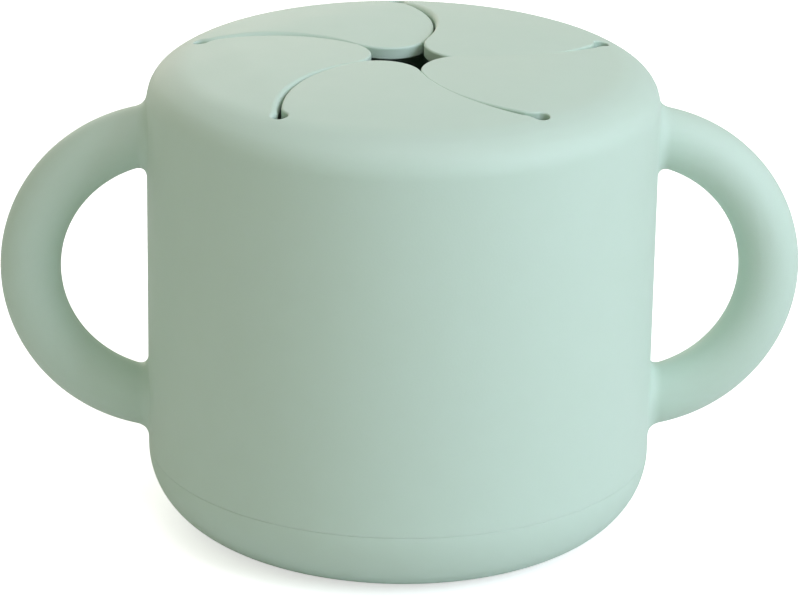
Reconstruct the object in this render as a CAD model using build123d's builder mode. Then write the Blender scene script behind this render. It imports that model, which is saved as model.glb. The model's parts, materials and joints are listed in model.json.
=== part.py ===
from build123d import *
from math import cos, radians, sin, sqrt
import os

# Toddler snack cup: a rigid inner cup holds the snacks, and a one-piece silicone cover is pulled over it.
# The cover is wall, shoulder, top and both handles in one moulding. Five curved slits cut its top into
# petals that a small hand pushes down. Millimetres, +Z up, origin on the floor under the middle of the
# base, handles along X.

# Outside form, shared by the cup's base and the cover
body_radius = 44.5
base_corner = 13.0  # radius from floor to wall, and so the height of the seam between cup and cover
wall_top = 76.4  # where the straight wall ends
shoulder_radius = 5.5  # tight arc that leaves the wall
shoulder_turn = 52.0  # degrees that it turns
brow_radius = 12.0  # softer arc above it
crown_fall = 8.0  # degrees that the top still falls where it meets the softer arc
seam_rounding = 0.2  # on both edges of the seam, which leaves a fine line round the base

# Silicone cover
skin = 2.2
handle_top_gap = 1.0  # from the end of the straight wall down to the handle's highest line
handle_foot_gap = 2.4  # from the seam up to the handle's lowest line
handle_sink = 4.25  # the centre of the handle's arc lies this far inside the wall's surface
grip_diameter = 10.6
handle_root_fillet = 2.0

# Petals
petal_droop = (4.6, 3.3, 2.0, 3.1, 4.0)  # degrees that each petal has sunk below the crown
first_slit_angle = 90.0  # one slit ends straight behind the cup
slit_end_inset = 7.6  # from the wall in to where a slit ends
slit_end_hole = 2.8  # diameter of the round hole that stops a slit from tearing
slit_width = 0.5
slit_arc_radius = 26.0
slit_miss = 2.24  # how near the slit's circle would pass the cup's axis
tip_radius = 7.7

# Petal roots: the silicone bends along a straight line just inside the slit ends
root_inset = 2.85  # from the chord between two slit ends in to the line
root_clearance = 0.25
root_margin = 0.05  # round root's spare over the skin that it has to cover
root_corner = 2.4

# Inner cup
fit_gap = 0.3  # between cup and cover, all round
cup_wall = 1.8
cup_floor = 2.0
cup_corner = 9.0  # inside, between wall and floor
rim_drop = 0.6  # the rim stops this far below the end of the straight wall
rim_rounding = 0.8
ledge_corner = 0.3
foot_ring_width = 4.7  # of the flat ring that the cup stands on
foot_hollow = 0.8

# Worked out from the sizes above
petal_angle = 360.0 / len(petal_droop)
brow_turn = 90.0 - shoulder_turn - crown_fall
shoulder_in = shoulder_radius * (1 - cos(radians(shoulder_turn)))
brow_in = brow_radius * (cos(radians(shoulder_turn)) - sin(radians(crown_fall)))
shoulder_up = shoulder_radius * sin(radians(shoulder_turn))
brow_up = brow_radius * (cos(radians(crown_fall)) - sin(radians(shoulder_turn)))
crown_edge = body_radius - shoulder_in - brow_in
crown_radius = crown_edge / sin(radians(crown_fall))
crown_centre_height = wall_top + shoulder_up + brow_up - crown_radius * cos(radians(crown_fall))
seam_height = base_corner
handle_top = wall_top - handle_top_gap
handle_foot = seam_height + handle_foot_gap
handle_middle = (handle_top + handle_foot) / 2
handle_arc_radius = (handle_top - handle_foot - grip_diameter) / 2  # to the middle of the grip
slit_end_circle = body_radius - slit_end_inset
slit_centre_circle = slit_arc_radius + slit_miss
slit_centre_x = (slit_end_circle**2 + slit_centre_circle**2 - slit_arc_radius**2) / (2 * slit_end_circle)
slit_centre = Vector(slit_centre_x, sqrt(slit_centre_circle**2 - slit_centre_x**2))
cup_radius = body_radius - skin - fit_gap
rim_height = wall_top - rim_drop
cup_floor_top = foot_hollow + cup_floor
foot_ring_radius = body_radius - base_corner - foot_ring_width
inside_span = 2 * (body_radius + wall_top)  # longer than the body in any direction


def crown_height(distance):
    """Height of the domed top at a distance from the cup's axis."""
    return crown_centre_height + sqrt(crown_radius**2 - distance**2)


# A petal is drawn with the middle of its root on -X. Its own slit ends half a petal's angle before
# -X, and the next petal's slit as far after it.
root_distance = slit_end_circle * cos(radians(petal_angle / 2)) - root_inset
root_end_distance = slit_end_circle - slit_end_hole / 2
root_rise = crown_height(root_distance) - crown_height(root_end_distance)
root_axis_height = crown_height(root_distance) - root_rise / 2 - skin / 2
root_radius = skin / 2 + root_rise / 2 + root_margin
root_middle = Vector(-root_distance, 0, root_axis_height)
root_axis = Axis(root_middle, (0, 1, 0))  # turning about it takes the petal's tip down
root_plane = Plane(root_middle, x_dir=(1, 0, 0), z_dir=(0, -1, 0))
own_slit_angle = 180 - petal_angle / 2


def body_section(inset, foot):
    """Half-section of the body that lies `inset` inside the outer surface, from the height `foot` up."""
    with BuildSketch(Plane.XZ) as section:
        with BuildLine():
            side = Line((body_radius - inset, foot), (body_radius - inset, wall_top))
            shoulder = JernArc(side @ 1, side % 1, shoulder_radius - inset, shoulder_turn)
            brow = JernArc(shoulder @ 1, shoulder % 1, brow_radius - inset, brow_turn)
            crown = JernArc(brow @ 1, brow % 1, crown_radius - inset, crown_fall)
            Polyline(crown @ 1, (0, foot), side @ 0)
        make_face()
    return section.sketch


def petal_plan(growth, root_reach):
    """Petal from above: inside its own slit's arc, outside the next one's, and short of `root_reach`."""
    with BuildSketch() as plan:
        with Locations(slit_centre.rotate(Axis.Z, own_slit_angle)):
            Circle(slit_arc_radius - slit_width / 2 + growth)
        with Locations(slit_centre.rotate(Axis.Z, own_slit_angle + petal_angle)):
            Circle(slit_arc_radius + slit_width / 2 - growth, mode=Mode.SUBTRACT)
        with Locations((-root_reach, 0)):
            Rectangle(
                inside_span, 2 * inside_span, align=(Align.MIN, Align.CENTER), mode=Mode.INTERSECT
            )
    return plan.sketch


def petal_block(plan, nose_radius):
    """Upright block over a petal's plan, with a round nose of `nose_radius` about the root axis."""
    with BuildPart() as block:
        extrude(plan, amount=inside_span)
        with BuildSketch(root_plane):
            Rectangle(inside_span, 2 * inside_span, align=(Align.MIN, Align.CENTER))
            Circle(nose_radius)
        extrude(amount=inside_span, both=True, mode=Mode.INTERSECT)
    return block.part


# One slit from its petal's root to its end hole, drawn with the end on +X
with BuildSketch() as slit_end:
    with Locations(slit_centre):
        Circle(slit_arc_radius + slit_width / 2)
        Circle(slit_arc_radius - slit_width / 2, mode=Mode.SUBTRACT)
    with Locations((slit_end_circle, 0)):
        Rectangle(
            slit_end_circle - root_distance,
            2 * root_distance,
            align=(Align.MAX, Align.CENTER),
            mode=Mode.INTERSECT,
        )
    near_slit = slit_end.faces().sort_by_distance((slit_end_circle, 0, 0))[0]
    add(near_slit, mode=Mode.REPLACE)
    with Locations((slit_end_circle, 0)):
        Circle(slit_end_hole / 2)

# Silicone cover
pocket_nose = root_radius + root_clearance
pocket = petal_block(petal_plan(slit_width, root_distance + pocket_nose), pocket_nose)
with BuildPart() as cover:
    revolve(body_section(0, seam_height), axis=Axis.Z)
    for side_angle in (0, 180):
        side_plane = Plane.XZ.rotated((0, 0, side_angle))
        with BuildLine(side_plane) as grip_line:
            CenterArc((body_radius - handle_sink, handle_middle), handle_arc_radius, -90, 180)
        with BuildSketch(Plane(grip_line.line @ 0, z_dir=grip_line.line % 0)):
            Circle(grip_diameter / 2)
        sweep(path=grip_line.line)
        fillet(cover.edges(Select.NEW), handle_root_fillet)
    revolve(body_section(skin, seam_height - base_corner), axis=Axis.Z, mode=Mode.SUBTRACT)
    fillet(cover.edges().group_by(Axis.Z)[0].sort_by(SortBy.LENGTH)[-1], seam_rounding)
    with BuildSketch(Plane.XY.offset(wall_top)):
        with PolarLocations(0, len(petal_droop), start_angle=first_slit_angle):
            add(slit_end.sketch)
        Circle(root_distance)
    extrude(amount=inside_span, mode=Mode.SUBTRACT)
    with PolarLocations(0, len(petal_droop), start_angle=first_slit_angle - own_slit_angle):
        add(pocket, mode=Mode.SUBTRACT)
cover.part.label = "silicone_cover"

# One petal, flush with the crown
with BuildSketch() as petal_outline:
    add(petal_plan(0, root_distance + root_radius))
    fillet(petal_outline.vertices().sort_by_distance((0, 0, 0))[0], tip_radius)
    fillet(petal_outline.vertices().group_by(Axis.X)[0], root_corner)
with BuildPart() as flush_petal:
    add(petal_block(petal_outline.sketch, root_radius))
    revolve(body_section(0, seam_height), axis=Axis.Z, mode=Mode.INTERSECT)
    revolve(body_section(skin, seam_height), axis=Axis.Z, mode=Mode.SUBTRACT)

# Inner cup
with BuildPart() as cup:
    with BuildSketch(Plane.XZ) as cup_section:
        with BuildLine():
            upper = FilletPolyline(
                (body_radius, seam_height),
                (cup_radius, seam_height),
                (cup_radius, rim_height),
                (cup_radius - cup_wall, rim_height),
                (cup_radius - cup_wall, cup_floor_top),
                (0, cup_floor_top),
                radius=[ledge_corner, rim_rounding, rim_rounding, cup_corner],
            )
            under = Polyline(
                upper @ 1,
                (0, foot_hollow),
                (foot_ring_radius - foot_hollow, foot_hollow),
                (foot_ring_radius, 0),
                (body_radius - base_corner, 0),
            )
            JernArc(under @ 1, under % 1, base_corner, 90)
        make_face()
    revolve(axis=Axis.Z)
cup.part.label = "inner_cup"

os.makedirs("parts", exist_ok=True)
export_step(cup.part, "parts/inner_cup.step")
export_step(cover.part, "parts/silicone_cover.step")
for number, droop in enumerate(petal_droop, start=1):
    sector_turn = first_slit_angle - own_slit_angle + (number - 1) * petal_angle
    with BuildPart() as petal:
        add(flush_petal.part.rotate(root_axis, droop).rotate(Axis.Z, sector_turn))
    petal.part.label = f"petal_{number}"
    export_step(petal.part, f"parts/petal_{number}.step")
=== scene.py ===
import json
from math import acos, atan2, ceil, cos, hypot, pi, radians, sin, sqrt, tan

import bmesh
import bpy
import numpy as np
from mathutils import Matrix, Vector
from mathutils.geometry import delaunay_2d_cdt

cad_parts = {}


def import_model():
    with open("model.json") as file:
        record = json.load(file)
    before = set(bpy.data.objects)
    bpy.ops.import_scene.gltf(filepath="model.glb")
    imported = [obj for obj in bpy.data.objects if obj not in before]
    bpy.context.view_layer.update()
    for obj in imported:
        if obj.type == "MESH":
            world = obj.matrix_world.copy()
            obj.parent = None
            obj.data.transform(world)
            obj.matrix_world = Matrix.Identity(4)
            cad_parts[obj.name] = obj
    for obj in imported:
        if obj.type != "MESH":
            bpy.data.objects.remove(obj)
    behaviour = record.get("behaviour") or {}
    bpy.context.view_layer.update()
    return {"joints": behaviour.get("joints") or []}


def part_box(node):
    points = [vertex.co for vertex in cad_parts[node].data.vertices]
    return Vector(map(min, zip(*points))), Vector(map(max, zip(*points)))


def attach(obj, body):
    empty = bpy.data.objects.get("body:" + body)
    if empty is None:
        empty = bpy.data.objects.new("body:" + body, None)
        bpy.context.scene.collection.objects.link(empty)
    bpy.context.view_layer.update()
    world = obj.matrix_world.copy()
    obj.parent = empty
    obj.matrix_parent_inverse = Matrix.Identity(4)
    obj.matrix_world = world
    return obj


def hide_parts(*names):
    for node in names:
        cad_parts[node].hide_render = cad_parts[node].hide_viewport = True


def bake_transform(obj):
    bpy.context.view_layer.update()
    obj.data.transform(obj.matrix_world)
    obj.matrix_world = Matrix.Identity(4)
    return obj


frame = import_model()

# Sizes of the solids, in metres, taken from the frame or repeated from the part
BODY_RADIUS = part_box("inner_cup")[1].x
SEAM_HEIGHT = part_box("silicone_cover")[0].z
RIM_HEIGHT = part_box("inner_cup")[1].z
WALL_TOP = 0.0764
SHOULDER_RADIUS = 0.0055
SHOULDER_TURN = radians(52)
BROW_RADIUS = 0.012
CROWN_FALL = radians(8)
SKIN = 0.0022
FIT_GAP = 0.0003
CUP_WALL = 0.0018
CUP_CORNER = 0.009
CUP_FLOOR_TOP = 0.0028
RIM_ROUNDING = 0.0008
LEDGE_CORNER = 0.0003
FOOT_RING_RADIUS = 0.0268
FOOT_HOLLOW = 0.0008
HANDLE_CENTRE = BODY_RADIUS - 0.00425
HANDLE_HEIGHT = WALL_TOP - 0.031
HANDLE_ARC_RADIUS = 0.0247
GRIP_RADIUS = 0.0053
PETALS = [joint for joint in frame["joints"] if joint["name"].startswith("petal")]
SECTOR = 2 * pi / len(PETALS)
FIRST_SLIT = radians(90)
PETAL_DROOP = [radians(angle) for angle in (4.6, 3.3, 2.0, 3.1, 4.0)]
ROOT_DISTANCE = hypot(PETALS[0]["pos_m"][0], PETALS[0]["pos_m"][1])
SLIT_END = BODY_RADIUS - 0.0076
SLIT_HOLE = 0.0013
SLIT_ARC = 0.026
SLIT_MISS = 0.00224
TIP_RADIUS = 0.0077

# Finer form that only the scene shows
FOOT_EDGE = 0.0003  # rounding of the flat ring's inner edges
SLIT_GAP = 0.00036
LIP_UNDER = 0.00025
SLIT_CORNER = 0.004  # leads a slit into its hole
# Lip radius and extra opening where the arcs of a petal's edge meet, from its own hole to the next
EDGE_STOPS = [
    (0.0003, 0),
    (0.00035, 0),
    (0.0004, 0.0001),
    (0.00035, 0),
    (0.0004, 0),
    (0.0013, 0.0001),
    (0.0008, 0),
    (0.0003, 0),
]
BEND_REACH = 0.003  # the silicone bends over this length, each side of a petal's root line
PETAL_RIM = 0.040  # radius where the petals' skins meet the cover's skin
HANDLE_BLEND = 0.0022
COVER_EDGE = 0.00006  # roundings of the seam: light catches the cup's edge, below the cover's
BASE_EDGE = 0.00014

# How finely the pieces are divided
COLUMN = radians(1.5)  # of the turned pieces
SECTION_ARC = radians(4)  # of a turned section's arcs
WALL_STEPS = 50
SHOULDER_STEPS = 13
WINDOW_COLUMNS = 8  # of plain wall each side of a handle's middle, which join wall and handle
FILL_STEP = 0.0012
HOLE_STEP = 0.0003
CORNER_STEP = 0.0002
SLIT_STEP = 0.0005
LIP_STEPS = 5
GRIP_STEPS = 64
ARC_STEPS = 40
FILLET_STEPS = 14
SOLVER_STEPS = 20
WELD = 1e-6


def polar(radius, angle):
    return Vector((radius * cos(angle), radius * sin(angle)))


def node(tree, kind, given=None, **settings):
    """A node with its settings; `given` holds values or other nodes' outputs for its inputs."""
    made = tree.nodes.new(kind)
    for key, value in settings.items():
        setattr(made, key, value)
    for key, value in (given or {}).items():
        if isinstance(value, bpy.types.NodeSocket):
            tree.links.new(value, made.inputs[key])
        else:
            made.inputs[key].default_value = value
    return made


def sums(tree, operation, *values):
    return node(tree, "ShaderNodeMath", dict(enumerate(values)), operation=operation).outputs[0]


def vectors(tree, operation, *values):
    return node(tree, "ShaderNodeVectorMath", dict(enumerate(values)), operation=operation).outputs


# --- Meshes that keep the direction each point faces -----------------------------------------------


def part_mesh(places, facings, faces=()):
    mesh = bpy.data.meshes.new("part")
    mesh.from_pydata([tuple(place) for place in places], [], faces)
    facing = mesh.attributes.new("facing", "FLOAT_VECTOR", "POINT")
    facing.data.foreach_set("vector", np.array([tuple(f) for f in facings], np.float32).ravel())
    return mesh


def sheet(rows, closed):
    """A mesh through rows of (place, facing) pairs; closed joins each row's end to its start."""
    width = len(rows[0])
    faces = []
    for start in range(0, (len(rows) - 1) * width, width):
        for i in range(0 if closed else 1, width):
            a, b = start + (i - 1) % width, start + i
            faces.append((a, b, b + width, a + width))
    pairs = [pair for row in rows for pair in row]
    return part_mesh([place for place, _ in pairs], [facing for _, facing in pairs], faces)


def welded(name, parts, material):
    """One piece from parts whose edges meet, shaded by the directions that its points face."""
    joined = bmesh.new()
    for part in parts:
        joined.from_mesh(part)
    bmesh.ops.remove_doubles(joined, verts=joined.verts, dist=WELD)
    joined.normal_update()
    facing = joined.verts.layers.float_vector["facing"]
    for face in joined.faces:
        if face.normal.dot(sum((corner[facing] for corner in face.verts), Vector())) < 0:
            face.normal_flip()
    facings = [corner[facing].normalized() for corner in joined.verts]
    mesh = bpy.data.meshes.new(name)
    joined.to_mesh(mesh)
    joined.free()
    mesh.attributes.remove(mesh.attributes["facing"])
    mesh.shade_smooth()
    mesh.normals_split_custom_set_from_vertices(facings)
    mesh.materials.clear()
    mesh.materials.append(material)
    made = bpy.data.objects.new(name, mesh)
    bpy.context.scene.collection.objects.link(made)
    return made


def inside(loops, places):
    """Which places lie inside the first loop and outside the others."""
    crossings = np.zeros(len(places), int)
    x, y = places[:, :1], places[:, 1:]
    for loop in loops:
        line = np.array([tuple(place) for place in loop])
        following = np.roll(line, -1, 0)
        run, rise = (following - line).T
        spans = (line[:, 1] > y) != (following[:, 1] > y)
        cuts = line[:, 0] + (y - line[:, 1]) * run / np.where(rise == 0, 1, rise)
        crossings += (spans & (cuts > x)).sum(1)
    return crossings % 2 == 1


def filled(loops):
    """Triangles inside the first loop and outside the others, with evenly spread points between."""
    line = np.array([tuple(place) for loop in loops for place in loop])
    low, high = line.min(0), line.max(0)
    across = np.arange(low[0], high[0] + FILL_STEP, FILL_STEP)
    up = np.arange(low[1], high[1], FILL_STEP * sqrt(3) / 2)
    spread_places = np.array(
        [(x + FILL_STEP * (row % 2) / 2, y) for row, y in enumerate(up) for x in across]
    )
    spread_places = spread_places[inside(loops, spread_places)]
    gaps = np.hypot(*(spread_places[:, None, :] - line[None, :, :]).transpose(2, 0, 1)).min(1)
    clear_places = spread_places[gaps > 0.6 * FILL_STEP]
    places = [Vector(place) for place in np.concatenate([line, clear_places])]
    edges, start = [], 0
    for loop in loops:
        edges += [(start + i, start + (i + 1) % len(loop)) for i in range(len(loop))]
        start += len(loop)
    places, _, triangles, *_ = delaunay_2d_cdt(places, edges, [], 0, 1e-9)
    flat = np.array([tuple(place) for place in places])
    kept = inside(loops, flat[np.array(triangles)].mean(1))
    return places, [triangle for triangle, keep in zip(triangles, kept) if keep]


# --- Geometry Nodes: sections turned about the axis, and petals sunk into the whirl ---------------


def sized_tree(name, sizes):
    """A new tree with named inputs, and those inputs."""
    tree = bpy.data.node_groups.new(name, "GeometryNodeTree")
    tree.is_modifier = True
    inputs = {"Geometry": "NodeSocketGeometry", **sizes, "Material": "NodeSocketMaterial"}
    for size, kind in inputs.items():
        tree.interface.new_socket(size, in_out="INPUT", socket_type=kind)
    tree.interface.new_socket("Geometry", in_out="OUTPUT", socket_type="NodeSocketGeometry")
    return tree, node(tree, "NodeGroupInput").outputs


def end_tree(tree, geometry, material):
    real = node(tree, "GeometryNodeRealizeInstances", {"Geometry": geometry}).outputs[0]
    painted = node(tree, "GeometryNodeSetMaterial", {"Geometry": real, "Material": material}).outputs[0]
    node(tree, "NodeGroupOutput", {0: painted})
    return tree


def facing_attribute(tree):
    return node(
        tree, "GeometryNodeInputNamedAttribute", {"Name": "facing"}, data_type="FLOAT_VECTOR"
    ).outputs["Attribute"]


def about_axis(tree, vector, angle):
    return node(
        tree, "ShaderNodeVectorRotate", {"Vector": vector, "Angle": angle}, rotation_type="Z_AXIS"
    ).outputs[0]


def placed(tree, geometry, places, facings):
    """Sets where points are and the direction that they face."""
    facing_set = node(
        tree,
        "GeometryNodeStoreNamedAttribute",
        {"Geometry": geometry, "Name": "facing", "Value": facings},
        data_type="FLOAT_VECTOR",
    ).outputs[0]
    return node(tree, "GeometryNodeSetPosition", {"Geometry": facing_set, "Position": places}).outputs[0]


def turned_tree():
    """Turns a section, a row of points in the XZ plane, about Z: from Start through Sweep."""
    tree, given = sized_tree(
        "turned_section",
        {"Start": "NodeSocketFloat", "Sweep": "NodeSocketFloat", "Steps": "NodeSocketInt"},
    )
    section = given["Geometry"]
    size = node(tree, "GeometryNodeAttributeDomainSize", {"Geometry": section}).outputs["Point Count"]
    columns = sums(tree, "ADD", given["Steps"], 1)
    grid = node(
        tree, "GeometryNodeMeshGrid", {"Vertices X": columns, "Vertices Y": size}
    ).outputs["Mesh"]
    index = node(tree, "GeometryNodeInputIndex").outputs[0]
    row = sums(tree, "MODULO", index, size)
    column = sums(tree, "FLOOR", sums(tree, "DIVIDE", index, size))
    share = sums(tree, "DIVIDE", column, given["Steps"])
    angle = sums(tree, "MULTIPLY_ADD", share, given["Sweep"], given["Start"])
    turned_values = []
    for value in (node(tree, "GeometryNodeInputPosition").outputs[0], facing_attribute(tree)):
        sampled = node(
            tree,
            "GeometryNodeSampleIndex",
            {"Geometry": section, "Index": row},
            data_type="FLOAT_VECTOR",
        )
        tree.links.new(value, sampled.inputs["Value"])
        turned_values.append(about_axis(tree, sampled.outputs["Value"], angle))
    return end_tree(tree, placed(tree, grid, *turned_values), given["Material"])


def sunken_tree():
    """Sinks a flush petal by Slope about its root, with the bend spread over Reach, and turns it."""
    tree, given = sized_tree(
        "sunken_petal",
        {
            "Slope": "NodeSocketFloat",
            "Turn": "NodeSocketFloat",
            "Root Distance": "NodeSocketFloat",
            "Reach": "NodeSocketFloat",
            "Middle": "NodeSocketVector",
        },
    )
    middle, reach, slope = given["Middle"], given["Reach"], given["Slope"]
    place = node(tree, "GeometryNodeInputPosition").outputs[0]
    facing = facing_attribute(tree)
    outward = vectors(tree, "DOT_PRODUCT", place, middle)["Value"]
    inward = sums(tree, "SUBTRACT", given["Root Distance"], outward)
    bend = node(
        tree,
        "ShaderNodeMapRange",
        {"Value": inward, "From Min": sums(tree, "MULTIPLY", reach, -1), "From Max": reach},
    ).outputs["Result"]
    square = sums(tree, "MULTIPLY", bend, bend)
    cube = sums(tree, "MULTIPLY", square, bend)
    curve = sums(tree, "MULTIPLY", cube, sums(tree, "SUBTRACT", 2, bend))
    beyond = sums(tree, "MAXIMUM", sums(tree, "SUBTRACT", inward, reach), 0)
    drop = sums(tree, "MULTIPLY", sums(tree, "MULTIPLY_ADD", curve, reach, beyond), slope)
    lowered = vectors(
        tree, "SUBTRACT", place, node(tree, "ShaderNodeCombineXYZ", {"Z": drop}).outputs[0]
    )["Vector"]
    steepness = sums(tree, "MULTIPLY", square, sums(tree, "MULTIPLY_ADD", bend, -2, 3))
    upward = node(tree, "ShaderNodeSeparateXYZ", {"Vector": facing}).outputs["Z"]
    lean = sums(tree, "MULTIPLY", sums(tree, "MULTIPLY", steepness, slope), upward)
    leaned = node(
        tree, "ShaderNodeVectorMath", {0: middle, "Scale": lean}, operation="SCALE"
    ).outputs["Vector"]
    tilted = vectors(tree, "SUBTRACT", facing, leaned)["Vector"]
    moved = placed(
        tree,
        given["Geometry"],
        about_axis(tree, lowered, given["Turn"]),
        about_axis(tree, tilted, given["Turn"]),
    )
    return end_tree(tree, moved, given["Material"])


TURNED = turned_tree()
SUNKEN = sunken_tree()


def shaped(tree, mesh, values):
    """The plain mesh that a tree makes of another one, with values for its named inputs."""
    holder = bpy.data.objects.new(tree.name, mesh)
    bpy.context.scene.collection.objects.link(holder)
    modifier = holder.modifiers.new(tree.name, "NODES")
    modifier.node_group = tree
    for socket in tree.interface.items_tree:
        if socket.in_out == "INPUT" and socket.name in values:
            modifier[socket.identifier] = values[socket.name]
    evaluated = holder.evaluated_get(bpy.context.evaluated_depsgraph_get())
    made = bpy.data.meshes.new_from_object(evaluated)
    holder.modifiers.clear()
    bpy.data.objects.remove(holder)
    return made


# --- Sections --------------------------------------------------------------------------------------


def turned(section, material, start=0.0, sweep=2 * pi):
    """Turns a section of (radius, height, facing out, facing up) about the axis."""
    places = [(radius, 0, height) for radius, height, _, _ in section]
    facings = [(out, 0, up) for _, _, out, up in section]
    steps = round(sweep / COLUMN)
    values = {"Start": start, "Sweep": sweep, "Steps": steps, "Material": material}
    return shaped(TURNED, part_mesh(places, facings), values)


def arc_section(centre, radius, start, end, facing=1):
    """Arc of a section round centre, from one angle to another; facing -1 is its hollow side."""
    steps = max(3, ceil(abs(end - start) / SECTION_ARC))
    section = []
    for i in range(steps + 1):
        out, up = polar(1, start + (end - start) * i / steps)
        section.append((centre[0] + radius * out, centre[1] + radius * up, facing * out, facing * up))
    return section


def rounded_section(corners):
    """Section through (radius, height, rounding) corners, solid on its right-hand side."""
    places = [Vector(corner[:2]) for corner in corners]
    section = []
    for i, place in enumerate(places):
        arriving = (place - places[i - 1]).normalized() if i else None
        leaving = (places[i + 1] - place).normalized() if i + 1 < len(places) else arriving
        arriving = arriving or leaving
        turn = arriving.angle_signed(leaving, 0)
        if abs(turn) < 1e-6 or corners[i][2] == 0:
            section.append((place.x, place.y, -leaving.y, leaving.x))
            continue
        rounding = corners[i][2]
        start = place - arriving * rounding * tan(abs(turn) / 2)
        convex = 1 if turn > 0 else -1  # a right-hand turn bends round the solid
        centre = start - convex * rounding * Vector((-arriving.y, arriving.x))
        first = start - centre
        start_angle = atan2(first.y, first.x)
        section += arc_section(centre, rounding, start_angle, start_angle - turn, convex)
    return section


# --- Body's outer form -----------------------------------------------------------------------------

SHOULDER_CENTRE = Vector((BODY_RADIUS - SHOULDER_RADIUS, WALL_TOP))
BROW_CENTRE = SHOULDER_CENTRE + polar(SHOULDER_RADIUS - BROW_RADIUS, SHOULDER_TURN)
CROWN_TURN = pi / 2 - CROWN_FALL
CROWN_EDGE = BROW_CENTRE + polar(BROW_RADIUS, CROWN_TURN)
CROWN_RADIUS = CROWN_EDGE.x / sin(CROWN_FALL)
CROWN_CENTRE = Vector((0, CROWN_EDGE.y - CROWN_RADIUS * cos(CROWN_FALL)))


def top_surface(radius, inset):
    """Height and facing of the top at a distance from the axis, inset below the outer surface."""
    centre, arc = CROWN_CENTRE, CROWN_RADIUS - inset
    if radius > BROW_CENTRE.x + (BROW_RADIUS - inset) * cos(CROWN_TURN):
        centre, arc = BROW_CENTRE, BROW_RADIUS - inset
    across = radius - centre.x
    rise = sqrt(arc * arc - across * across)
    return centre.y + rise, across / arc, rise / arc


def brow_section(inset, facing):
    """Arc from where the petals' skins end, out and down to the shoulder."""
    brow = BROW_RADIUS - inset
    rim_angle = atan2(sqrt(brow**2 - (PETAL_RIM - BROW_CENTRE.x) ** 2), PETAL_RIM - BROW_CENTRE.x)
    return arc_section(BROW_CENTRE, brow, rim_angle, SHOULDER_TURN, facing)


def on_wall(around, along):
    """Place and facing on the outer wall and shoulder, from lengths measured on its surface."""
    tilt = max(along - WALL_TOP, 0) / SHOULDER_RADIUS
    out, up = polar(1, tilt)
    angle = around / BODY_RADIUS
    radius = SHOULDER_CENTRE.x + SHOULDER_RADIUS * out
    height = min(along, WALL_TOP) + SHOULDER_RADIUS * up
    return Vector((*polar(radius, angle), height)), Vector((*polar(out, angle), up))


def wall_lengths(place):
    """The lengths on the outer wall's surface that on_wall turns into a place."""
    outside = hypot(place[0], place[1]) - SHOULDER_CENTRE.x
    tilt = atan2(max(place[2] - WALL_TOP, 0), outside)
    along = min(place[2], WALL_TOP) + SHOULDER_RADIUS * tilt
    return Vector((BODY_RADIUS * atan2(place[1], place[0]), along))


def wall_lines():
    """Lengths up the wall of its lines of points, from its seam's edge to the shoulder's end."""
    low = SEAM_HEIGHT + 2 * COVER_EDGE
    straight = [low + (WALL_TOP - low) * i / WALL_STEPS for i in range(WALL_STEPS)]
    shoulder = SHOULDER_RADIUS * SHOULDER_TURN
    return straight + [WALL_TOP + shoulder * i / SHOULDER_STEPS for i in range(SHOULDER_STEPS + 1)]


WALL_LINES = wall_lines()


def wall_section():
    section = []
    for along in WALL_LINES:
        place, facing = on_wall(0, along)
        section.append((place.x, place.z, facing.x, facing.z))
    return section


def hem_section():
    """The cover's lower edge, then its inner side up to where the petals' skins end."""
    lower = rounded_section(
        [
            (BODY_RADIUS, WALL_LINES[0], 0),
            (BODY_RADIUS, SEAM_HEIGHT, COVER_EDGE),
            (BODY_RADIUS - SKIN, SEAM_HEIGHT, COVER_EDGE),
            (BODY_RADIUS - SKIN, WALL_TOP, 0),
        ]
    )
    shoulder = arc_section(SHOULDER_CENTRE, SHOULDER_RADIUS - SKIN, 0, SHOULDER_TURN, -1)
    return lower + shoulder[1:] + brow_section(SKIN, -1)[-2::-1]


def cup_section():
    cup_radius = BODY_RADIUS - SKIN - FIT_GAP
    return rounded_section(
        [
            (0, CUP_FLOOR_TOP, 0),
            (cup_radius - CUP_WALL, CUP_FLOOR_TOP, CUP_CORNER),
            (cup_radius - CUP_WALL, RIM_HEIGHT, RIM_ROUNDING),
            (cup_radius, RIM_HEIGHT, RIM_ROUNDING),
            (cup_radius, SEAM_HEIGHT, LEDGE_CORNER),
            (BODY_RADIUS, SEAM_HEIGHT, BASE_EDGE),
            (BODY_RADIUS, 0, SEAM_HEIGHT - 2 * BASE_EDGE),
            (FOOT_RING_RADIUS, 0, FOOT_EDGE),
            (FOOT_RING_RADIUS - FOOT_HOLLOW, FOOT_HOLLOW, FOOT_EDGE),
            (0, FOOT_HOLLOW, 0),
        ]
    )


# --- Handles: round grips that run into the wall with a soft fillet --------------------------------
# The fillet is where the distances to wall and grip differ by less than HANDLE_BLEND.


def wall_field(places):
    """Distance outside the wall and shoulder, and the direction in which it grows."""
    across = np.hypot(places[:, 0], places[:, 1])
    out = across - SHOULDER_CENTRE.x
    above = np.maximum(places[:, 2] - SHOULDER_CENTRE.y, 0)
    reach = np.hypot(out, above)
    slopes = np.stack([out * places[:, 0] / across, out * places[:, 1] / across, above], -1)
    return reach - SHOULDER_RADIUS, slopes / reach[:, None]


def grip_field(places):
    """Distance outside the handle's grip on the +X side, and the direction in which it grows."""
    right, up = places[:, 0] - HANDLE_CENTRE, places[:, 2] - HANDLE_HEIGHT
    arc = np.hypot(right, up)
    side = arc - HANDLE_ARC_RADIUS
    reach = np.hypot(side, places[:, 1])
    slopes = np.stack([side * right / arc, places[:, 1], side * up / arc], -1)
    return reach - GRIP_RADIUS, slopes / reach[:, None]


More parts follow.
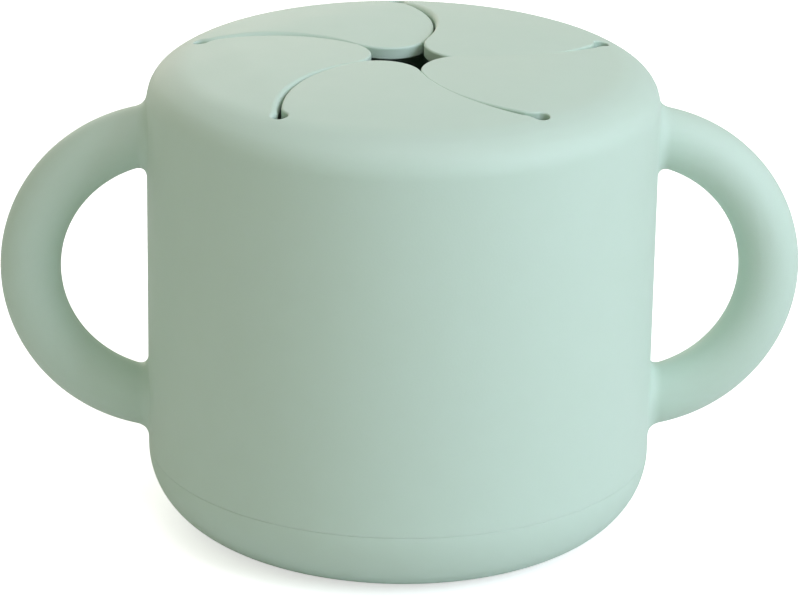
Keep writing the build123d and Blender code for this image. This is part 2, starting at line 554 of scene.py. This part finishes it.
def fillet_ring(places, difference):
    """Moves places onto the fillet, to where wall and grip lie `difference` apart, with facings."""
    share = (1 - abs(difference) / HANDLE_BLEND) / 2
    depth = HANDLE_BLEND * share**2
    for _ in range(SOLVER_STEPS):
        wall, wall_slope = wall_field(places)
        grip, grip_slope = grip_field(places)
        wall_miss = depth + max(difference, 0) - wall
        grip_miss = depth + max(-difference, 0) - grip
        lean = (wall_slope * grip_slope).sum(-1)
        wall_step = (wall_miss - lean * grip_miss) / (1 - lean**2)
        grip_step = (grip_miss - lean * wall_miss) / (1 - lean**2)
        places = places + wall_step[:, None] * wall_slope + grip_step[:, None] * grip_slope
    wall_share = share if difference > 0 else 1 - share
    return places, wall_share * wall_slope + (1 - wall_share) * grip_slope


def grip_ring(angles, around):
    """Places and facings on the grip, at angles along its arc and round it."""
    outward = np.stack([np.cos(angles), 0 * angles, np.sin(angles)], -1)
    facings = outward * np.cos(around)[:, None] + np.sin(around)[:, None] * (0, 1, 0)
    middle_line = (HANDLE_CENTRE, 0, HANDLE_HEIGHT) + HANDLE_ARC_RADIUS * outward
    return middle_line + GRIP_RADIUS * facings, facings


def handle(side):
    """Meshes of one handle, and of the wall round its roots."""
    around = 2 * pi * np.arange(GRIP_STEPS) / GRIP_STEPS
    flip = np.array((side, 1, 1))
    parts, root_loops = [], []
    for end in (1, -1):
        steepest = end * acos((BODY_RADIUS + HANDLE_BLEND - HANDLE_CENTRE) / HANDLE_ARC_RADIUS)
        places, _ = grip_ring(steepest + 0 * around, around)
        fillet = []
        for i in range(FILLET_STEPS + 1):
            places, facings = fillet_ring(places, HANDLE_BLEND * (1 - 2 * i / FILLET_STEPS))
            fillet.append((places, facings))
        ends = fillet[0][0] - (HANDLE_CENTRE, 0, HANDLE_HEIGHT)
        end_angles = np.arctan2(ends[:, 2], ends[:, 0])
        end_around = np.arctan2(ends[:, 1], np.hypot(ends[:, 0], ends[:, 2]) - HANDLE_ARC_RADIUS)
        shift = (end_around - around + pi) % (2 * pi) - pi
        rings = [
            grip_ring(end_angles * i / ARC_STEPS, around + shift * i / ARC_STEPS)
            for i in range(ARC_STEPS)
        ]
        rows = [list(zip(places * flip, facings * flip)) for places, facings in rings + fillet]
        parts.append(sheet(rows, closed=True))
        root_loops.append([wall_lengths(place) for place in places])
    half = WINDOW_COLUMNS * COLUMN * BODY_RADIUS
    columns = [half * i / WINDOW_COLUMNS for i in range(-WINDOW_COLUMNS, WINDOW_COLUMNS)]
    outline = [Vector((around_wall, WALL_LINES[0])) for around_wall in columns]
    outline += [Vector((half, along)) for along in WALL_LINES[:-1]]
    outline += [Vector((-around_wall, WALL_LINES[-1])) for around_wall in columns]
    outline += [Vector((-half, along)) for along in WALL_LINES[:0:-1]]
    lengths, triangles = filled([outline] + root_loops)
    window = [on_wall(*pair) for pair in lengths]
    mirror = Vector((side, 1, 1))
    places, facings = zip(*((place * mirror, facing * mirror) for place, facing in window))
    parts.append(part_mesh(places, facings, triangles))
    return parts


# --- Petals ----------------------------------------------------------------------------------------


def angle_of(v):
    return atan2(v.y, v.x)


def near_crossing(centre_a, radius_a, centre_b, radius_b):
    """The crossing of two circles that lies nearer to the axis."""
    between = centre_b - centre_a
    gap = between.length
    along = (gap**2 + radius_a**2 - radius_b**2) / (2 * gap)
    aside = sqrt(radius_a**2 - along**2)
    unit = between / gap
    foot = centre_a + unit * along
    square = Vector((-unit.y, unit.x)) * aside
    return min(foot + square, foot - square, key=lambda place: place.length)


def edge_arc(centre, radius, start, end, solid_inside, spacing, first, last):
    """Arc of a petal's edge, clockwise round the solid: place, outward direction and lip.

    `first` and `last` are the lip's radius and the slit's extra opening at the arc's two ends.
    """
    if solid_inside:
        turn = -((start - end) % (2 * pi))
    else:
        turn = (end - start) % (2 * pi)
    steps = max(4, ceil(abs(turn) * radius / spacing))
    arc = []
    for i in range(steps + 1):
        direction = polar(1, start + turn * i / steps)
        outward = direction if solid_inside else -direction
        part = i / steps
        lip = first[0] + (last[0] - first[0]) * part
        opening = first[1] * (1 - part) ** 3 + last[1] * part**3
        arc.append((centre + direction * radius - outward * opening, outward, lip))
    return arc


def petal_edge():
    """Free edge of a petal whose own slit ends on +X: hole, own slit, tip, next slit, next hole."""
    turned_on = Matrix.Rotation(SECTOR, 2)
    hole = Vector((SLIT_END, 0))
    reach = SLIT_ARC + SLIT_MISS
    centre_x = (SLIT_END**2 + reach**2 - SLIT_ARC**2) / (2 * SLIT_END)
    bow = Vector((centre_x, sqrt(reach**2 - centre_x**2)))
    next_hole, next_bow = turned_on @ hole, turned_on @ bow
    own, other = SLIT_ARC - SLIT_GAP / 2, SLIT_ARC + SLIT_GAP / 2
    first = near_crossing(bow, own - SLIT_CORNER, hole, SLIT_HOLE + SLIT_CORNER)
    tip = near_crossing(bow, own - TIP_RADIUS, next_bow, other + TIP_RADIUS)
    last = near_crossing(next_bow, other + SLIT_CORNER, next_hole, SLIT_HOLE + SLIT_CORNER)
    arcs = [
        (hole, SLIT_HOLE, 0, angle_of(first - hole), False, HOLE_STEP),
        (first, SLIT_CORNER, angle_of(hole - first), angle_of(first - bow), True, CORNER_STEP),
        (bow, own, angle_of(first - bow), angle_of(tip - bow), True, SLIT_STEP),
        (tip, TIP_RADIUS, angle_of(tip - bow), angle_of(next_bow - tip), True, SLIT_STEP),
        (next_bow, other, angle_of(tip - next_bow), angle_of(last - next_bow), False, SLIT_STEP),
        (last, SLIT_CORNER, angle_of(next_bow - last), angle_of(next_hole - last), True, CORNER_STEP),
        (next_hole, SLIT_HOLE, angle_of(last - next_hole), SECTOR, False, HOLE_STEP),
    ]
    edge = []
    for arc, *ends in zip(arcs, EDGE_STOPS, EDGE_STOPS[1:]):
        edge += edge_arc(*arc, *ends)[1 if edge else 0 :]
    return edge


def petal_point(place, shift, inset, tilt, outward):
    """Place and facing of a point: tilt goes from 0 on top, by the wall, to pi underneath."""
    height, out, up = top_surface(place.length, inset)
    radial = place.normalized()
    surface = Vector((radial.x * out, radial.y * out, up))
    return Vector((*place, height + shift)), surface * cos(tilt) + Vector((*outward, 0)) * sin(tilt)


def flush_petal():
    """One petal before it sinks, its own slit ending on +X: lips, walls and both faces."""
    edge = petal_edge()
    rows = []
    for step in range(LIP_STEPS + 1):
        angle = pi / 2 * step / LIP_STEPS
        inner, drop = 1 - sin(angle), 1 - cos(angle)
        rows.append([petal_point(p - o * lip * inner, -lip * drop, 0, angle, o) for p, o, lip in edge])
    for step in range(LIP_STEPS + 1):
        angle = pi / 2 * step / LIP_STEPS
        inner, rise = LIP_UNDER * (1 - cos(angle)), LIP_UNDER * (1 - sin(angle))
        rows.append([petal_point(p - o * inner, rise, SKIN, angle + pi / 2, o) for p, o, _ in edge])
    parts = [sheet(rows, closed=False)]
    steps = round(SECTOR / COLUMN)
    rim = [polar(PETAL_RIM, SECTOR * (1 - i / steps)) for i in range(steps + 1)]
    for inset, tilt in ((0, 0), (SKIN, pi)):
        line = [p - o * (LIP_UNDER if inset else lip) for p, o, lip in edge]
        outline = line + [(line[-1] + rim[0]) / 2] + rim + [(rim[-1] + line[0]) / 2]
        places, triangles = filled([outline])
        pairs = [petal_point(place, 0, inset, tilt, Vector((0, 0))) for place in places]
        parts.append(part_mesh(*zip(*pairs), triangles))
    return parts


def petal(number, flush_parts, material):
    """A petal of the whirl, sunk by its droop; its root bends with the cover."""
    turn = FIRST_SLIT + SECTOR * number
    middle = Vector((*polar(1, SECTOR / 2), 0))
    values = {
        "Slope": tan(PETAL_DROOP[number]),
        "Turn": turn,
        "Root Distance": ROOT_DISTANCE,
        "Reach": BEND_REACH,
        "Middle": middle,
        "Material": material,
    }
    name = PETALS[number]["child"]
    made = welded(f"{name}_skin", [shaped(SUNKEN, part, values) for part in flush_parts], material)
    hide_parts(name)
    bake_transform(made)
    return made


# --- Materials -------------------------------------------------------------------------------------


def noise(tree, place, scale, detail):
    values = {"Vector": place, "Scale": scale, "Detail": detail, "Roughness": 0.55}
    return node(tree, "ShaderNodeTexNoise", values).outputs["Fac"]


def spread(tree, value, low, high):
    """Maps 0.3..0.7, where noise mostly lies, onto low..high."""
    values = {"Value": value, "From Min": 0.3, "From Max": 0.7, "To Min": low, "To Max": high}
    return node(tree, "ShaderNodeMapRange", values, interpolation_type="SMOOTHSTEP").outputs["Result"]


def moulded_group():
    """Colour drift, roughness drift and fine grain that every moulded piece shares."""
    tree = bpy.data.node_groups.new("moulded_surface", "ShaderNodeTree")
    face = tree.interface
    face.new_socket("Colour", in_out="INPUT", socket_type="NodeSocketColor")
    face.new_socket("Roughness", in_out="INPUT", socket_type="NodeSocketFloat")
    face.new_socket("Grain", in_out="INPUT", socket_type="NodeSocketFloat")
    face.new_socket("Colour", in_out="OUTPUT", socket_type="NodeSocketColor")
    face.new_socket("Roughness", in_out="OUTPUT", socket_type="NodeSocketFloat")
    face.new_socket("Normal", in_out="OUTPUT", socket_type="NodeSocketVector")
    given = node(tree, "NodeGroupInput").outputs
    place = node(tree, "ShaderNodeTexCoord").outputs["Object"]
    tone = node(
        tree,
        "ShaderNodeHueSaturation",
        {
            "Color": given["Colour"],
            "Hue": spread(tree, noise(tree, place, 45, 3), 0.4985, 0.5015),
            "Value": spread(tree, noise(tree, place, 160, 4), 0.996, 1.004),
        },
    )
    matte = spread(tree, noise(tree, place, 260, 3), -0.03, 0.03)
    grain = node(
        tree,
        "ShaderNodeBump",
        {"Strength": given["Grain"], "Distance": 0.00004, "Height": noise(tree, place, 2600, 2)},
    )
    results = {
        "Colour": tone.outputs["Color"],
        "Roughness": sums(tree, "ADD", given["Roughness"], matte),
        "Normal": grain.outputs["Normal"],
    }
    node(tree, "NodeGroupOutput", results)
    return tree


MOULDED = moulded_group()


def moulded(name, colour, roughness, grain, softness, sheen):
    material = bpy.data.materials.new(name)
    material.use_nodes = True
    tree = material.node_tree
    values = {"Colour": (*colour, 1), "Roughness": roughness, "Grain": grain}
    surface = node(tree, "ShaderNodeGroup", node_tree=MOULDED)
    for key, value in values.items():
        surface.inputs[key].default_value = value
    shader = tree.nodes["Principled BSDF"]
    tree.links.new(surface.outputs["Colour"], shader.inputs["Base Color"])
    tree.links.new(surface.outputs["Roughness"], shader.inputs["Roughness"])
    tree.links.new(surface.outputs["Normal"], shader.inputs["Normal"])
    shader.inputs["IOR"].default_value = 1.42
    shader.inputs["Subsurface Weight"].default_value = softness
    shader.inputs["Subsurface Radius"].default_value = (0.8, 1.0, 0.8)
    shader.inputs["Subsurface Scale"].default_value = 0.0015
    shader.inputs["Sheen Weight"].default_value = sheen
    shader.inputs["Sheen Roughness"].default_value = 0.5
    return material


SAGE = (0.548, 0.700, 0.600)
silicone = moulded("sage_silicone", SAGE, roughness=0.58, grain=0.35, softness=0.15, sheen=0.12)
cup_plastic = moulded("sage_cup_plastic", SAGE, roughness=0.48, grain=0.2, softness=0.1, sheen=0.0)


# --- Camera ----------------------------------------------------------------------------------------

CAMERA_TARGET = Vector((0, 0, 0.0425))
CAMERA_DISTANCE = 0.6886
CAMERA_AZIMUTH = radians(-92.5)
CAMERA_ELEVATION = radians(20.48)
CAMERA_ROLL = radians(0.91)
PHOTO_WIDTH = 800
PHOTO_FOCAL = 3906  # in pixels

camera_data = bpy.data.cameras.new("camera")
camera_data.sensor_width = 36
camera_data.lens = 36 * PHOTO_FOCAL / PHOTO_WIDTH
camera_data.shift_x = -0.65 / PHOTO_WIDTH
camera_data.shift_y = -19.6 / PHOTO_WIDTH
camera_data.clip_start = 0.01
camera = bpy.data.objects.new("camera", camera_data)
bpy.context.scene.collection.objects.link(camera)
away = Vector((*polar(cos(CAMERA_ELEVATION), CAMERA_AZIMUTH), sin(CAMERA_ELEVATION)))
camera_turn = away.to_track_quat("Z", "Y").to_matrix().to_4x4() @ Matrix.Rotation(CAMERA_ROLL, 4, "Z")
camera.matrix_world = Matrix.Translation(CAMERA_TARGET + away * CAMERA_DISTANCE) @ camera_turn
bpy.context.scene.camera = camera


# --- Floor, backdrop and light ---------------------------------------------------------------------

FLOOR_HALF = 3.0
FLOOR_COLOUR = (0.8, 0.8, 0.8)
FLOOR_GLOW = 0.82
PAINTED_SHADOW_GLOW = 0.57  # what is left of it where the object meets the floor: a painted contact shadow
PAINTED_SHADOW_REACH = 0.012  # how near the object the painted contact shadow darkens the floor
WORLD_COLOUR = (0.405, 0.417, 0.311)
LAMP_DISTANCE = 1.4
LAMP_SIZE = 0.9


def floor():
    """White floor that keeps the object's shadow; its own glow is for the camera alone, and is dimmed
    near the object as a painted contact shadow.
    """
    mesh = bpy.data.meshes.new("floor")
    corners = [(-1, -1), (1, -1), (1, 1), (-1, 1)]
    places = [(x * FLOOR_HALF, y * FLOOR_HALF, 0) for x, y in corners]
    mesh.from_pydata(places, [], [(0, 1, 2, 3)])
    made = bpy.data.objects.new("floor", mesh)
    bpy.context.scene.collection.objects.link(made)
    material = bpy.data.materials.new("white_floor")
    material.use_nodes = True
    tree = material.node_tree
    shader = tree.nodes["Principled BSDF"]
    shader.inputs["Base Color"].default_value = (*FLOOR_COLOUR, 1)
    shader.inputs["Roughness"].default_value = 1.0
    shader.inputs["Specular IOR Level"].default_value = 0.0
    shader.inputs["Emission Color"].default_value = (1, 1, 1, 1)
    seen = node(tree, "ShaderNodeLightPath").outputs["Is Camera Ray"]
    # Painted contact shadow: the camera-only glow falls off where ambient occlusion finds the object
    # close by
    unshaded_share = node(tree, "ShaderNodeAmbientOcclusion", {"Distance": PAINTED_SHADOW_REACH}).outputs["AO"]
    glow = sums(tree, "MULTIPLY_ADD", unshaded_share, FLOOR_GLOW - PAINTED_SHADOW_GLOW, PAINTED_SHADOW_GLOW)
    glow = sums(tree, "MULTIPLY", seen, glow)
    tree.links.new(glow, shader.inputs["Emission Strength"])
    mesh.materials.append(material)


def world():
    """White to the camera, and a warm soft light to the object."""
    made = bpy.data.worlds.new("studio")
    bpy.context.scene.world = made
    made.use_nodes = True
    tree = made.node_tree
    tree.nodes.clear()
    seen = node(tree, "ShaderNodeBackground", {"Color": (1, 1, 1, 1), "Strength": 1.0})
    given = node(tree, "ShaderNodeBackground", {"Color": (*WORLD_COLOUR, 1), "Strength": 1.0})
    rays = node(tree, "ShaderNodeLightPath")
    mix = node(
        tree,
        "ShaderNodeMixShader",
        {"Fac": rays.outputs["Is Camera Ray"], 1: given.outputs[0], 2: seen.outputs[0]},
    )
    node(tree, "ShaderNodeOutputWorld", {"Surface": mix.outputs[0]})


def softbox(name, azimuth, elevation, power, colour):
    data = bpy.data.lights.new(name, "AREA")
    data.shape = "DISK"
    data.size = LAMP_SIZE
    data.energy = power
    data.color = colour
    made = bpy.data.objects.new(name, data)
    bpy.context.scene.collection.objects.link(made)
    toward = Vector((*polar(cos(radians(elevation)), radians(azimuth)), sin(radians(elevation))))
    turn = toward.to_track_quat("Z", "Y").to_matrix().to_4x4()
    made.matrix_world = Matrix.Translation(CAMERA_TARGET + toward * LAMP_DISTANCE) @ turn


floor()
world()
softbox("key", -32, 28, 13.0, (0.735, 0.823, 1.0))
softbox("overhead", -60, 75, 4.8, (0.9, 0.72, 1.0))
softbox("rim", 105, 14, 5.0, (1.0, 0.9, 0.86))

# --- The object ------------------------------------------------------------------------------------

cover_parts = [turned(brow_section(0, 1), silicone), turned(hem_section(), silicone)]
window = WINDOW_COLUMNS * COLUMN
for start in (window, pi + window):
    cover_parts.append(turned(wall_section(), silicone, start, pi - 2 * window))
for side in (1, -1):
    cover_parts += handle(side)
cover = welded("cover_skin", cover_parts, silicone)
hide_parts("silicone_cover")
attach(cover, "cover")

cup = welded("cup_skin", [turned(cup_section(), cup_plastic)], cup_plastic)
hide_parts("inner_cup")
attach(cup, "cup")

flush_parts = flush_petal()
for number in range(len(PETALS)):
    petal(number, flush_parts, silicone)

bpy.context.scene.view_settings.view_transform = "Standard"
